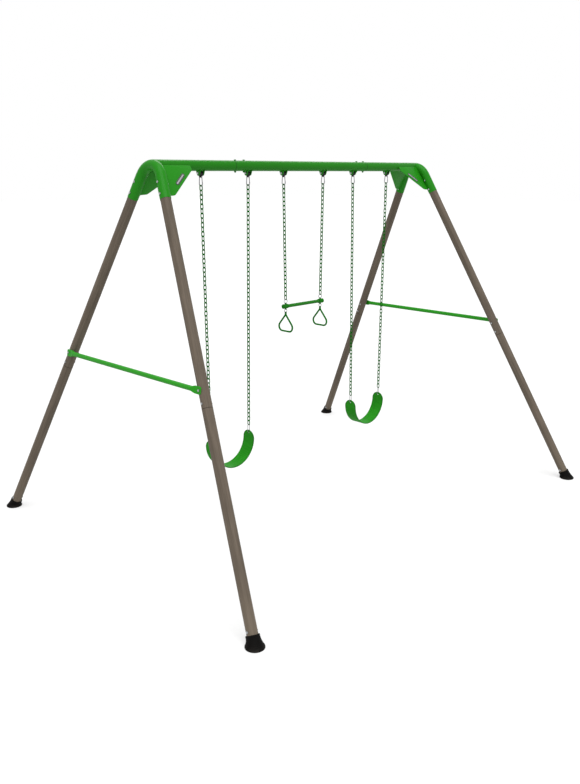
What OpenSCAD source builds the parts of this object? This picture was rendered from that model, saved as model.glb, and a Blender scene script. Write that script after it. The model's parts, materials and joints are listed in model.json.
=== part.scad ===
// Metal A-frame swing set: two belt swings and, between them, a trapeze bar with two hand rings.
// Millimetres. X runs along the top beam, Z is up, the ground is Z = 0 and the origin is the
// middle of the footprint. "left" is -X, "front" is -Y.

/* [Frame] */
// Height of the top beam's axis above the ground
beam_height = 2400; // [2200:10:2600]
// Distance from the middle of the beam to the top of each arch
arch_half_span = 1271; // [1230:1:1500]
// Outward tilt of each A-frame from upright, in degrees
frame_splay = 10; // [6:0.5:13]
// Angle of each leg from the centre line of its A-frame, in degrees
leg_lean = 26.9; // [22:0.1:30]
// Outer diameter of a leg tube
leg_d = 63; // [55:0.5:70]
// Wall of a leg tube
leg_wall = 1.5; // [1.2:0.1:3]
// Distance along a leg from the ground to the seam between its two tubes
leg_seam = 1275; // [1150:5:1330]
// Length of the lower tube's narrowed end, inside the upper tube
leg_spigot = 75; // [55:1:90]
// Distance along a leg from the ground to the cut end of its lower tube
leg_cut = 24; // [22:1:30]

/* [Arches] */
// Wall of an arch tube
arch_wall = 1.4; // [1.2:0.1:3]
// Radius of the arch's bend, to the tube's axis
bend_r = 107; // [95:1:130]
// Straight length of the arch below the bend
arch_leg = 150; // [140:1:180]
// Step from the bend out to the wider sockets that take the legs
arch_step = 0.6; // [0.4:0.1:1.5]
// Length of leg inside the arch
leg_insert = 130; // [115:1:138]

/* [Beam] */
// Outer diameter of the top beam
beam_d = 66; // [60:0.5:72]
// Wall of the beam tubes
beam_wall = 1.5; // [1.2:0.1:3]
// Distance from the middle of the beam to each seam
beam_seam = 645; // [610:1:680]
// Length of an end tube's narrowed end, inside the middle tube
beam_spigot = 105; // [95:1:120]
// Distance of the two bolts from each beam seam
beam_bolt_inset = [15, 89]; // [10:1:92]

/* [Gussets] */
// Thickness of a gusset plate
gusset_t = 3; // [2:0.5:5]
// Distance from the middle of the beam to a gusset's inner end
gusset_reach = 1020; // [990:1:1060]
// Depth of a gusset at its inner end
gusset_end = 33; // [20:1:50]
// Depth of a gusset at the arch
gusset_depth = 216; // [180:1:222]
// Distance from the middle of the beam to a gusset's lower corner
gusset_corner = 1217; // [1190:1:1240]
// Tilt of a gusset plate from upright, in degrees
gusset_tilt = 31.9; // [29:0.1:33]
// Length, width and thickness of the blank plate on each front gusset
plate_size = [108, 22, 1.5]; // [1:0.5:120]
// Distance of the blank plate's middle line from the gusset's slanted edge
plate_inset = 28; // [24:1:45]

/* [Cross braces] */
// Outer diameter of a cross brace
brace_d = 30; // [26:0.5:34]
// Wall of a cross brace
brace_wall = 1.2; // [0.8:0.1:2]
// Height of the braces above the ground
brace_height = 1210; // [1190:5:1280]
// Thickness of a brace's flattened end
brace_flat = 4; // [3:0.5:6]
// Height of a brace's flattened end
brace_end_h = 44; // [38:1:50]
// Distance from the end bolt to the end of the flattened part
brace_tip = 17; // [14:1:30]
// Distance from the end bolt to where the flattening starts
brace_neck = 30; // [24:1:60]
// Length over which the round tube flattens
brace_taper = 34; // [28:1:80]

/* [Feet] */
// Radius of a rubber foot on the ground
foot_r = 54; // [50:1:62]
// Height of the foot's upright edge
foot_edge = 9; // [5:1:14]
// Distance along the leg from the ground to the foot's rim
foot_top = 64; // [56:1:70]
// Wall of the foot around the leg
foot_wall = 7; // [5:0.5:10]

/* [Bolts] */
// Diameter of the frame bolts and the pivot bolts
bolt_d = 8; // [6:0.5:9]
// Distance across the flats of a bolt head
head_af = 13; // [11:0.5:15]
// Height of a bolt head
head_h = 5.3; // [4:0.1:7]
// Height of a nut
nut_h = 6.5; // [5:0.1:8]
// Length of thread past a nut
bolt_tail = 3; // [1:0.5:5]
// Distances of the two bolts from the end of each arch leg
arch_bolts = [30, 104]; // [20:1:110]
// Distance of a leg's joint bolt above its seam
seam_bolt = 28; // [15:1:40]
// Distance along a leg from the ground to its foot bolt
foot_bolt = 82; // [78:1:100]

/* [Hangers] */
// Distance from the middle of the beam to the middle of each belt swing
swing_spacing = 716; // [700:1:740]
// Half the distance between the two hangers of one swing
hanger_half = 196.5; // [180:0.5:205]
// Distance from the beam's axis down to the pivot
pivot_drop = 46; // [45:0.5:52]
// Width of a bracket plate where it meets the beam
bracket_w = 57; // [50:1:62]
// Thickness of a bracket plate
bracket_t = 3; // [2:0.5:5]
// Radius of a bracket plate round the pivot
bracket_tip_r = 15; // [13:0.5:18]
// Clear width between the two plates of a bracket
bracket_gap = 31; // [26:0.5:36]
// Radius of the nylon bearing round its pivot
bearing_r = 11; // [9:0.5:12]
// Distance from the pivot down to the bearing's eye
eye_drop = 15; // [12:0.5:16]
// Outer radius of the bearing round its eye
eye_r = 11; // [10:0.5:13]
// Radius of the eye's hole
eye_hole_r = 5; // [4.7:0.1:5.5]
// Thickness of the bearing at its eye
eye_t = 10; // [8:0.5:12]

/* [Snap hooks] */
// Overall length of a snap hook
hook_len = 68; // [58:1:72]
// Overall width of a snap hook at its wide end
hook_w = 36; // [32:1:40]
// Overall width of a snap hook at its narrow end
hook_top_w = 29; // [28:0.5:32]
// Wire diameter of a snap hook
hook_wire = 6; // [5:0.25:6.5]
// Length of the gate from its pin
gate_len = 21.5; // [18:0.5:23]
// Diameter of the gate
gate_d = 5.2; // [4.4:0.1:5.8]
// Diameter of the gate's pin
gate_pin_d = 2; // [1.5:0.1:2.4]

/* [Chains] */
// Pitch of the chain
link_pitch = 28; // [26:0.25:30]
// Wire diameter of a link with its plastic coat
link_wire = 6; // [4.5:0.25:6.5]
// Overall width of a link
link_w = 25; // [22:0.5:28]
// Links in each chain of a belt swing
belt_links = 58; // [40:2:60]
// Links in each chain of the trapeze
trapeze_links = 28; // [20:2:36]
// Wire diameter of the plated links and rings
ring_wire = 4.5; // [4:0.25:5]
// Overall length of the plated link at a belt seat
seat_link_len = 64; // [56:1:76]
// Overall width of the plated link at a belt seat
seat_link_w = 22; // [20:0.5:26]

/* [Belt seats] */
// Half the distance between the two ends of a belt seat
seat_half = 171.5; // [165:0.5:190]
// Width of the belt
belt_w = 108; // [100:1:150]
// Thickness of the belt
belt_t = 7; // [5:0.5:8]
// Upright length at each end of the belt, above its half-round bottom
belt_end = 46; // [36:1:80]
// Radius of the hole at each end of the belt
belt_hole_r = 6; // [6:0.25:8]
// Distance from the hole to the tip of the belt
belt_tip = 20; // [18:1:24]

/* [Trapeze] */
// Half the distance between the eyes of the trapeze bar
trapeze_half = 178; // [170:0.5:190]
// Diameter of the trapeze bar
bar_d = 25; // [22:0.5:28]
// Wall of the trapeze bar
bar_wall = 2; // [1.5:0.5:3]
// Diameter of the end fittings
fitting_d = 32; // [30:0.5:36]
// Length of an end fitting on the inner side of its eyes
fitting_in = 19; // [15:1:26]
// Length of an end fitting on the outer side of its eyes
fitting_out = 26; // [20:1:32]
// Thickness of a fitting's closed end
fitting_cap = 5; // [3:0.5:8]
// Distance from the bar's axis to each eye of a fitting
lug_rise = 19; // [18.5:0.5:24]
// Thickness of an eye
lug_t = 6; // [5:0.5:8]
// Radius of an eye's hole
lug_hole_r = 3.5; // [3.4:0.1:4]
// Metal around an eye's hole
lug_rim = 3; // [2.5:0.5:5]
// Outer diameter of the rings above the bar
upper_ring_d = 36; // [34:1:44]
// Outer diameter of the rings below the bar
lower_ring_d = 30; // [28:0.5:36]

/* [Hand rings] */
// Rod diameter of a hand ring
handle_d = 13; // [11:0.5:15]
// Overall width of a hand ring
handle_w = 146; // [130:1:160]
// Bend radius at the lower corners, to the rod's axis
handle_corner_r = 31; // [26:1:38]
// Overall height of a hand ring
handle_h = 147; // [135:1:165]
// Thickness of the eye at the top
handle_eye_t = 7; // [6:0.5:7]
// Outer radius of the eye at the top
handle_eye_r = 8; // [7:0.5:9]
// Radius of the hole in the eye
handle_hole_r = 4; // [3.9:0.1:4.5]
// Depth of the neck where the two sides join
handle_neck = 13; // [12:1:30]
// Radius of that neck
handle_neck_r = 7; // [7:0.5:9]

/* [Hidden] */
$fn = 72;
green = [0.17, 0.53, 0.13];
dark_green = [0.13, 0.36, 0.15];
taupe = [0.44, 0.40, 0.35];
black = [0.06, 0.06, 0.06];
steel = [0.72, 0.73, 0.74];

// Gap between pieces that are welded, or that rest on each other
seat_gap = 0.3;
// Gap of a tube inside a tube, and of a bolt in its hole
slip = 0.15;
// Gap of a turning shaft in its hole
running = 0.06;
// Extra length of a cutting shape past the surface that it cuts
past = 1;
// A straight rod runs this far into a bend, and is thinner by this much so that the two fuse
join_depth = 0.8;
join_step = 0.04;
// Length by which an arch's sockets overlap the ends of its bend
socket_lip = 2;

leg_r = leg_d / 2;
arch_r = leg_r + slip + arch_wall;
beam_r = beam_d / 2;
bolt_r = bolt_d / 2;
hole_r = bolt_r + slip;
head_r = head_af / 2 / cos(30);

// Heights inside the plane of an A-frame are measured along its own slope
apex_w = beam_height / cos(frame_splay);
bend_angle = 90 - leg_lean;
cross_w = apex_w - bend_r + bend_r / sin(leg_lean);
foot_y = cross_w * tan(leg_lean);
foot_x = arch_half_span + apex_w * sin(frame_splay);
leg_bend_at = cross_w / cos(leg_lean) - bend_r / tan(leg_lean);
arch_end = leg_bend_at - arch_leg;
brace_w = brace_height / cos(frame_splay);
brace_y = foot_y - brace_w * tan(leg_lean);
brace_on_leg = brace_w / cos(leg_lean);
brace_off = leg_r + seat_gap + brace_flat / 2;

pivot_z = beam_height - pivot_drop;
eye_z = pivot_z - eye_drop;
pivot_reach = bracket_gap / 2 + bracket_t;

// Distances down a chain are measured from the bearing's eye
hook_low_r = (hook_w - hook_wire) / 2;
hook_top_r = (hook_top_w - hook_wire) / 2;
hook_span = hook_len - hook_wire;
hook_centres = hook_span - hook_low_r - hook_top_r;
hook_flare = asin((hook_low_r - hook_top_r) / hook_centres);
gate_pin_at = 3;
link_r = (link_w - link_wire) / 2;
link_span = link_pitch + link_wire + seat_gap;
first_link = hook_span - (hook_wire + link_wire) / 2 - seat_gap;
next_piece = link_span - (link_wire + ring_wire) / 2 - seat_gap;
belt_chain_end = first_link + (belt_links - 1) * link_pitch + next_piece;
trapeze_chain_end = first_link + (trapeze_links - 1) * link_pitch + next_piece;

seat_link_r = (seat_link_w - ring_wire) / 2;
seat_link_span = seat_link_len - ring_wire;
belt_chain_len = belt_chain_end + seat_link_span;
belt_lean = asin((hanger_half - seat_half) / belt_chain_len);
seat_pivot_z = eye_z - belt_chain_len * cos(belt_lean);
belt_sag = seat_link_r - sqrt(pow(seat_link_r, 2) - pow(belt_t / 2, 2));
belt_hole_z = seat_pivot_z - (belt_hole_r - ring_wire / 2 - belt_sag - 2 * seat_gap);
belt_tip_z = belt_hole_z + belt_tip;

upper_ring_r = (upper_ring_d - ring_wire) / 2;
lower_ring_r = (lower_ring_d - ring_wire) / 2;
trapeze_chain_len = trapeze_chain_end + 2 * upper_ring_r;
trapeze_lean = asin((hanger_half - trapeze_half) / trapeze_chain_len);
bar_pivot_z = eye_z - trapeze_chain_len * cos(trapeze_lean);
lug_play = lug_hole_r - ring_wire / 2 - 3 * seat_gap;
bar_z = bar_pivot_z - lug_play - lug_rise;
ring_pivot_z = bar_z - lug_rise - lug_play;
ring_centre_z = ring_pivot_z - lower_ring_r;
handle_play = handle_hole_r - ring_wire / 2 - 3 * seat_gap;
handle_eye_z = ring_centre_z - lower_ring_r - handle_play;
handle_top_z = handle_eye_z + handle_eye_r;
handle_rod_r = handle_d / 2;
handle_low_z = handle_top_z - handle_h + handle_rod_r;
corner_y = handle_w / 2 - handle_rod_r - handle_corner_r;
corner_z = handle_low_z + handle_corner_r;
crotch_z = handle_eye_z - handle_neck;
// The side of a hand ring touches its corner bend and points at the bottom of the neck
side_reach = norm([corner_y, crotch_z - corner_z]);
side_angle = atan2(corner_y, crotch_z - corner_z) + asin(handle_corner_r / side_reach);

// ---- frames of reference ----

// The tilted plane of one A-frame: Z runs up its slope
module frame_plane(sx) {
    translate([sx * foot_x, 0, 0]) rotate([0, -sx * frame_splay, 0]) children();
}

// One leg: Z runs up the leg's axis from the ground, X is square to the A-frame
module leg_axis(sx, sy) {
    frame_plane(sx) translate([0, sy * foot_y, 0]) rotate([sy * leg_lean, 0, 0]) children();
}

// One chain: Z = 0 at the bearing's eye, -Z runs down the chain
module chain_axis(middle, side, lean) {
    translate([middle + side * hanger_half, 0, eye_z]) rotate([0, side * lean, 0]) children();
}

// The plane of one gusset: X runs along the beam, Z runs up the plate from Z = 0 at the beam
module gusset_plane(sy) {
    translate([0, sy * (beam_r + seat_gap + gusset_t / 2 * cos(gusset_tilt)), beam_height])
        rotate([sy * gusset_tilt, 0, 0]) children();
}

// ---- shapes used more than once ----

// A straight round bar along Z
module bar(r, from, to) {
    translate([0, 0, from]) cylinder(h = to - from, r = r);
}

// A bent round bar in the YZ plane, its angles measured from +Z towards +Y
module bent_bar(bend, r, from, to) {
    rotate([0, -90, 0]) rotate([0, 0, from])
        rotate_extrude(angle = to - from) translate([bend, 0]) circle(r);
}

// A closed wire loop in the YZ plane, its upper wire at Z = 0 and its lower wire at Z = -span
module wire_loop(top_r, low_r, span, wire) {
    centres = span - top_r - low_r;
    flare = asin((low_r - top_r) / centres);
    translate([0, 0, -top_r]) {
        bent_bar(top_r, wire / 2, flare - 90, 90 - flare);
        translate([0, 0, -centres]) bent_bar(low_r, wire / 2, 90 - flare, 270 + flare);
        for (side = [-1, 1])
            translate([0, side * low_r * cos(flare), low_r * sin(flare) - centres])
                rotate([side * flare, 0, 0])
                    bar(wire / 2 - join_step, -join_depth, centres * cos(flare) + join_depth);
    }
}

// A round wire ring in the XZ plane, its upper wire at Z = 0
module wire_ring(r) {
    translate([0, 0, -r]) rotate([90, 0, 0]) rotate_extrude() translate([r, 0]) circle(ring_wire / 2);
}

// A bolt along X with its nut, through material from X = -reach to X = reach, the head at +X
module bolt(reach) {
    rotate([0, 90, 0]) {
        bar(bolt_r, -reach - slip - nut_h - bolt_tail, reach + slip);
        translate([0, 0, reach + slip]) cylinder(h = head_h, r = head_r, $fn = 6);
        difference() {
            translate([0, 0, -reach - slip - nut_h]) cylinder(h = nut_h, r = head_r, $fn = 6);
            bar(hole_r, -reach - nut_h - past, -reach + past);
        }
    }
}

// The hole for such a bolt
module bolt_hole(reach) {
    rotate([0, 90, 0]) bar(hole_r, -reach - past, reach + past);
}

// Points of a rounded corner at b, between a and c
function corner(a, b, c, r) =
    let (u = (a - b) / norm(a - b), v = (c - b) / norm(c - b), half = acos(u * v) / 2,
         middle = b + (u + v) / norm(u + v) * r / sin(half),
         from = b + u * r / tan(half) - middle, to = b + v * r / tan(half) - middle,
         start = atan2(from.y, from.x), turn = (atan2(to.y, to.x) - start + 540) % 360 - 180)
    [for (i = [0:8]) middle + r * [cos(start + turn * i / 8), sin(start + turn * i / 8)]];

// Positions of a leg's bolts along its axis
function bolts_in_arch() = [for (b = arch_bolts) arch_end + b];

// ---- frame ----

// The arch's form, grown by that much: its bend, and two wider sockets that overlap the bend's ends
module arch_form(sx, grow, extra) {
    frame_plane(sx) translate([0, 0, apex_w - bend_r])
        bent_bar(bend_r, arch_r - arch_step + grow, -bend_angle, bend_angle);
    for (sy = [-1, 1])
        leg_axis(sx, sy) bar(arch_r + grow, arch_end - extra, leg_bend_at + socket_lip + grow);
}

// Bent tube at the top of one A-frame, which takes the two legs
module arch(sx) {
    color(green) difference() {
        arch_form(sx, 0, 0);
        arch_form(sx, -arch_wall, past);
        for (sy = [-1, 1], at = bolts_in_arch())
            leg_axis(sx, sy) translate([0, 0, at]) bolt_hole(arch_r);
    }
}

// Upper tube of a leg
module upper_leg(sx, sy) {
    top = arch_end + leg_insert;
    color(taupe) leg_axis(sx, sy) difference() {
        bar(leg_r, leg_seam, top);
        bar(leg_r - leg_wall, leg_seam - past, top + past);
        for (at = concat(bolts_in_arch(), [leg_seam + seam_bolt, brace_on_leg]))
            translate([0, 0, at]) bolt_hole(leg_r);
    }
}

// Lower tube of a leg, its top end narrowed to fit inside the upper tube
module lower_leg(sx, sy) {
    spigot_r = leg_r - leg_wall - slip;
    color(taupe) leg_axis(sx, sy) difference() {
        union() {
            bar(leg_r, leg_cut, leg_seam - seat_gap);
            bar(spigot_r, leg_cut, leg_seam + leg_spigot);
        }
        bar(leg_r - leg_wall, leg_cut - past, leg_seam - seat_gap - 2 * leg_wall);
        bar(spigot_r - leg_wall, leg_cut, leg_seam + leg_spigot + past);
        for (at = [foot_bolt, leg_seam + seam_bolt])
            translate([0, 0, at]) bolt_hole(leg_r);
    }
}

// Flared rubber foot on the end of a leg
module foot(sx, sy) {
    rim = 6;
    color(black) difference() {
        hull() {
            translate([sx * foot_x, sy * foot_y, 0]) cylinder(h = foot_edge, r = foot_r, $fn = 48);
            leg_axis(sx, sy) translate([0, 0, foot_top - rim])
                cylinder(h = rim, r = leg_r + seat_gap + foot_wall, $fn = 48);
        }
        leg_axis(sx, sy) bar(leg_r + seat_gap, leg_cut - seat_gap, foot_top + foot_r);
    }
}

// Middle tube of the beam
module beam_middle() {
    color(green) rotate([0, 90, 0]) translate([-beam_height, 0, 0]) difference() {
        bar(beam_r, -beam_seam, beam_seam);
        bar(beam_r - beam_wall, -beam_seam - past, beam_seam + past);
        for (side = [-1, 1], b = beam_bolt_inset)
            translate([0, 0, side * (beam_seam - b)]) bolt_hole(beam_r);
    }
}

// End tube of the beam: narrowed end inside the middle tube, other end cut to fit the arch
module beam_end(sx) {
    spigot_r = beam_r - beam_wall - slip;
    shoulder = beam_seam + seat_gap;
    color(green) difference() {
        translate([0, 0, beam_height]) rotate([0, sx * 90, 0]) difference() {
            union() {
                bar(beam_r, shoulder, arch_half_span);
                bar(spigot_r, beam_seam - beam_spigot, arch_half_span);
            }
            bar(beam_r - beam_wall, shoulder + 2 * beam_wall, arch_half_span + past);
            bar(spigot_r - beam_wall, beam_seam - beam_spigot - past, arch_half_span);
            for (b = beam_bolt_inset) translate([0, 0, beam_seam - b]) bolt_hole(beam_r);
        }
        arch_form(sx, seat_gap, 0);
        frame_plane(sx) translate([0, 0, apex_w]) rotate([0, sx * 90, 0]) bar(2 * beam_r, 0, 2 * beam_r);
    }
}

// Plate that ties the beam to one leg of an arch
module gusset(sx, sy) {
    top_in = [gusset_reach, 0];
    low_in = [gusset_reach, -gusset_end];
    low_out = [gusset_corner, gusset_end - gusset_depth - gusset_end / 2];
    low_arch = [foot_x, -gusset_depth - gusset_end / 2];
    outline = concat([top_in], corner(top_in, low_in, low_out, gusset_end / 2),
        corner(low_in, low_out, low_arch, gusset_end), [low_arch, [foot_x, 0]]);
    color(green) difference() {
        gusset_plane(sy) rotate([90, 0, 0]) linear_extrude(height = gusset_t, center = true)
            polygon([for (p = outline) [sx * p.x, p.y]]);
        arch_form(sx, seat_gap, foot_r);
        frame_plane(sx) translate([0, 0, apex_w - gusset_depth])
            rotate([0, sx * 90, 0]) bar(2 * gusset_depth, 0, foot_x);
    }
}

// Blank plate on the outer face of each front gusset, along its slanted edge
module blank_plates() {
    low = [gusset_reach, -gusset_end];
    run = [gusset_corner, gusset_end / 2 - gusset_depth] - low;
    slope = atan2(-run.y, run.x);
    middle = low + run / 2 + plate_inset * [sin(slope), cos(slope)];
    half = (plate_size.x - plate_size.y) / 2;
    color(steel) for (sx = [-1, 1])
        gusset_plane(-1) translate([sx * middle.x, -gusset_t / 2 - seat_gap / 3, middle.y])
            rotate([0, sx * slope, 0]) rotate([90, 0, 0]) linear_extrude(height = plate_size.z) {
                square([2 * half, plate_size.y], center = true);
                for (side = [-1, 1]) translate([side * half, 0]) circle(plate_size.y / 2);
            }
}

// Tube between the two legs of an A-frame, on their outer faces, its ends pressed flat
module cross_brace(sx) {
    round_to = brace_y - brace_neck - brace_taper;
    color(green) frame_plane(sx) translate([sx * brace_off, 0, brace_w]) difference() {
        union() {
            rotate([90, 0, 0]) bar(brace_d / 2, -round_to, round_to);
            for (sy = [-1, 1]) {
                hull() {
                    translate([0, sy * round_to, 0]) rotate([90, 0, 0])
                        cylinder(h = 1, r = brace_d / 2, center = true, $fn = 32);
                    translate([0, sy * (brace_y - brace_neck), 0])
                        cube([brace_flat, 1, brace_end_h], center = true);
                }
                translate([-brace_flat / 2, 0, 0]) rotate([90, 0, 90])
                    linear_extrude(height = brace_flat)
                        polygon(flat_end(sy));
            }
        }
        rotate([90, 0, 0]) bar(brace_d / 2 - brace_wall, -round_to, round_to);
        for (sy = [-1, 1]) translate([0, sy * brace_y, 0]) bolt_hole(brace_flat);
    }
}

// Outline of a brace's flattened end, its outer corners rounded
function flat_end(sy) =
    let (from = brace_y - brace_neck, to = brace_y + brace_tip, h = brace_end_h / 2,
         a = [from, -h], b = [to, -h], c = [to, h], d = [from, h])
    [for (p = concat([a], corner(a, b, c, h / 2), corner(b, c, d, h / 2), [d])) [sy * p.x, p.y]];

// ---- fasteners ----

// Bolts through the arches, the leg joints and the leg ends
module leg_bolts() {
    color(steel) for (sx = [-1, 1], sy = [-1, 1]) leg_axis(sx, sy) {
        for (at = bolts_in_arch()) translate([0, 0, at]) scale_side(sx) bolt(arch_r);
        for (at = [leg_seam + seam_bolt, foot_bolt]) translate([0, 0, at]) scale_side(sx) bolt(leg_r);
    }
}

// Turns a bolt so that its head is on the outer side
module scale_side(sx) {
    rotate([0, sx > 0 ? 0 : 180, 0]) children();
}

// Upright bolts through the beam's joints, heads on top
module beam_bolts() {
    color(steel) for (sx = [-1, 1], b = beam_bolt_inset)
        translate([sx * (beam_seam - b), 0, beam_height]) rotate([0, -90, 0]) bolt(beam_r);
}

// Bolts through the braces and the legs
module brace_bolts() {
    middle = brace_flat / 2;
    color(steel) for (sx = [-1, 1], sy = [-1, 1])
        frame_plane(sx) translate([sx * (middle + seat_gap / 2), sy * brace_y, brace_w])
            scale_side(sx) bolt(leg_r + middle + seat_gap / 2);
}

// Bolts that carry the hanger bearings
module pivot_bolts() {
    color(steel) for (middle = [-swing_spacing, 0, swing_spacing], side = [-1, 1])
        translate([middle + side * hanger_half, 0, pivot_z]) scale_side(side) bolt(pivot_reach);
}

// ---- hangers ----

// Two pairs of V-shaped plates under the beam
module hanger_brackets(middle) {
    top = [bracket_w / 2, pivot_drop - sqrt(pow(beam_r, 2) - pow(bracket_w / 2, 2)) + 2];
    tangent = atan2(top.y, top.x) - acos(bracket_tip_r / norm(top));
    touch = bracket_tip_r * [cos(tangent), sin(tangent)];
    color(green) for (side = [-1, 1])
        translate([middle + side * hanger_half, 0, pivot_z]) difference() {
            for (face = [-1, 1])
                translate([face * (bracket_gap + bracket_t) / 2, 0, 0]) rotate([90, 0, 90])
                    linear_extrude(height = bracket_t, center = true) {
                        polygon([top, touch, [-touch.x, touch.y], [-top.x, top.y]]);
                        circle(bracket_tip_r);
                    }
            bolt_hole(pivot_reach);
            translate([0, 0, pivot_drop]) rotate([0, 90, 0])
                cylinder(h = 3 * pivot_reach, r = beam_r + seat_gap, center = true);
        }
}

// Black nylon bearings that swing on the pivot bolts
module bearings(middle) {
    half = bracket_gap / 2 - seat_gap;
    reach = norm([half, eye_drop]);
    tangent = atan2(eye_drop, half) - acos(eye_r / reach);
    touch = [eye_r * cos(tangent), eye_r * sin(tangent) - eye_drop];
    color(black) for (side = [-1, 1])
        translate([middle + side * hanger_half, 0, pivot_z]) difference() {
            union() {
                rotate([0, 90, 0]) cylinder(h = 2 * half, r = bearing_r, center = true);
                rotate([90, 0, 0]) linear_extrude(height = eye_t, center = true) {
                    polygon([[half, 0], touch, [-touch.x, touch.y], [-half, 0]]);
                    translate([0, -eye_drop]) circle(eye_r);
                }
            }
            rotate([0, 90, 0]) cylinder(h = 3 * half, r = bolt_r + running, center = true);
            translate([0, 0, -eye_drop]) rotate([90, 0, 0])
                cylinder(h = 2 * eye_t, r = eye_hole_r, center = true);
        }
}

// The straight side of a snap hook that the gate closes: Z runs up that side from the lower bend
module gate_side() {
    translate([0, -hook_low_r * cos(hook_flare), hook_low_r * sin(hook_flare) - hook_top_r - hook_centres])
        rotate([-hook_flare, 0, 0]) children();
}

// Snap hooks in the bearings' eyes, with a tongue for the gate's pin
module snap_hooks(middle, lean) {
    tongue_r = gate_d / 2 - 0.4;
    color(steel) for (side = [-1, 1]) chain_axis(middle, side, lean) difference() {
        union() {
            difference() {
                wire_loop(hook_top_r, hook_low_r, hook_span, hook_wire);
                gate_side() translate([-hook_wire, -hook_wire, 0])
                    cube([2 * hook_wire, 2 * hook_wire, gate_pin_at + gate_len + 2 * seat_gap]);
            }
            gate_side() {
                translate([-gate_pin_d / 2, -tongue_r, -seat_gap])
                    cube([gate_pin_d, 2 * tongue_r, gate_pin_at + seat_gap]);
                translate([0, 0, gate_pin_at]) rotate([0, 90, 0])
                    cylinder(h = gate_pin_d, r = tongue_r, center = true);
            }
        }
        gate_side() translate([0, 0, gate_pin_at]) rotate([0, 90, 0])
            cylinder(h = hook_wire, r = gate_pin_d / 2 + running, center = true);
    }
}

// Sprung gate of one snap hook, forked over the tongue, with its pin
module gate(middle, side, lean) {
    slot = gate_pin_d + 2 * 0.2;
    color(steel) chain_axis(middle, side, lean) gate_side() translate([0, 0, gate_pin_at]) {
        difference() {
            union() {
                bar(gate_d / 2, 0, gate_len);
                rotate([0, 90, 0]) cylinder(h = gate_d, r = gate_d / 2, center = true);
            }
            translate([-slot / 2, -gate_d, -gate_d]) cube([slot, 2 * gate_d, gate_d + gate_d / 2 + 0.6]);
        }
        rotate([0, 90, 0]) cylinder(h = gate_d, r = gate_pin_d / 2, center = true);
    }
}

// ---- chains ----

// Coated chain of one hanger: each link is turned a quarter from the one above
module chain(middle, side, lean, count) {
    color(dark_green) chain_axis(middle, side, lean) for (i = [0 : count - 1])
        translate([0, 0, -first_link - i * link_pitch]) rotate([0, 0, i % 2 == 0 ? 90 : 0])
            wire_loop(link_r, link_r, link_span, link_wire);
}

// Plated links between the chains and a belt seat
module seat_links(middle) {
    color(steel) for (side = [-1, 1]) chain_axis(middle, side, belt_lean)
        translate([0, 0, -belt_chain_end]) rotate([0, 0, 90])
            wire_loop(seat_link_r, seat_link_r, seat_link_span, ring_wire);
}

// Plated rings between the chains and the trapeze bar
module trapeze_rings() {
    color(steel) for (side = [-1, 1]) chain_axis(0, side, trapeze_lean)
        translate([0, 0, -trapeze_chain_end]) wire_ring(upper_ring_r);
}

// ---- belt seats ----

// Middle line of half a belt, as [point, slope] from the bottom to one end
function belt_line() = concat(
    [for (i = [0:15]) let (a = 90 * i / 15) [seat_half * [sin(a), 1 - cos(a)], a]],
    [[[seat_half, seat_half + belt_end], 90]]);

// The same line moved sideways by half the belt's thickness
function belt_face(line, away) = [for (p = line) p[0] + away * [sin(p[1]), -cos(p[1])]];

// U-shaped belt with round ends and a hole for the link near each end
module belt_seat(middle) {
    line = belt_line();
    outer = belt_face(line, belt_t / 2);
    inner = belt_face(line, -belt_t / 2);
    last = len(line) - 1;
    depth = line[last][0].y;
    outline = concat([for (i = [last:-1:1]) [-outer[i].x, outer[i].y]], outer,
        [for (i = [last:-1:0]) inner[i]], [for (i = [1:last]) [-inner[i].x, inner[i].y]]);
    color(green) translate([middle, 0, belt_tip_z - depth]) difference() {
        intersection() {
            rotate([90, 0, 0]) linear_extrude(height = belt_w, center = true) polygon(outline);
            union() {
                translate([0, 0, depth - belt_w / 2]) rotate([0, 90, 0])
                    cylinder(h = 3 * seat_half, r = belt_w / 2, center = true);
                translate([-1.5 * seat_half, -belt_w / 2, -belt_w])
                    cube([3 * seat_half, belt_w, depth + belt_w / 2]);
            }
        }
        translate([0, 0, depth - belt_tip]) rotate([0, 90, 0])
            cylinder(h = 3 * seat_half, r = belt_hole_r, center = true);
    }
}

// ---- trapeze ----

// Bar of the trapeze
module trapeze_bar() {
    reach = trapeze_half + fitting_out - fitting_cap - seat_gap;
    color(green) translate([0, 0, bar_z]) rotate([0, 90, 0]) difference() {
        bar(bar_d / 2, -reach, reach);
        bar(bar_d / 2 - bar_wall, -reach - past, reach + past);
    }
}

// Capped sleeves at the ends of the bar, with an eye above and an eye below
module bar_fittings() {
    color(green) for (side = [-1, 1]) translate([side * trapeze_half, 0, bar_z]) difference() {
        union() {
            rotate([0, side * 90, 0]) bar(fitting_d / 2, -fitting_in, fitting_out);
            for (way = [-1, 1]) lug(way);
        }
        rotate([0, side * 90, 0]) bar(bar_d / 2 + slip, -fitting_in - past, fitting_out - fitting_cap);
        for (way = [-1, 1]) translate([0, 0, way * lug_rise]) rotate([0, 90, 0])
            cylinder(h = 2 * lug_t, r = lug_hole_r, center = true);
    }
}

// One eye of a fitting, above or below it
module lug(way) {
    r = lug_hole_r + lug_rim;
    translate([0, 0, way * lug_rise]) rotate([0, 90, 0]) cylinder(h = lug_t, r = r, center = true);
    translate([0, 0, way * lug_rise / 2]) cube([lug_t, 2 * r, lug_rise], center = true);
}

// Plated ring that carries one hand ring
module handle_ring(side) {
    color(steel) translate([side * trapeze_half, 0, ring_pivot_z]) wire_ring(lower_ring_r);
}

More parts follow.
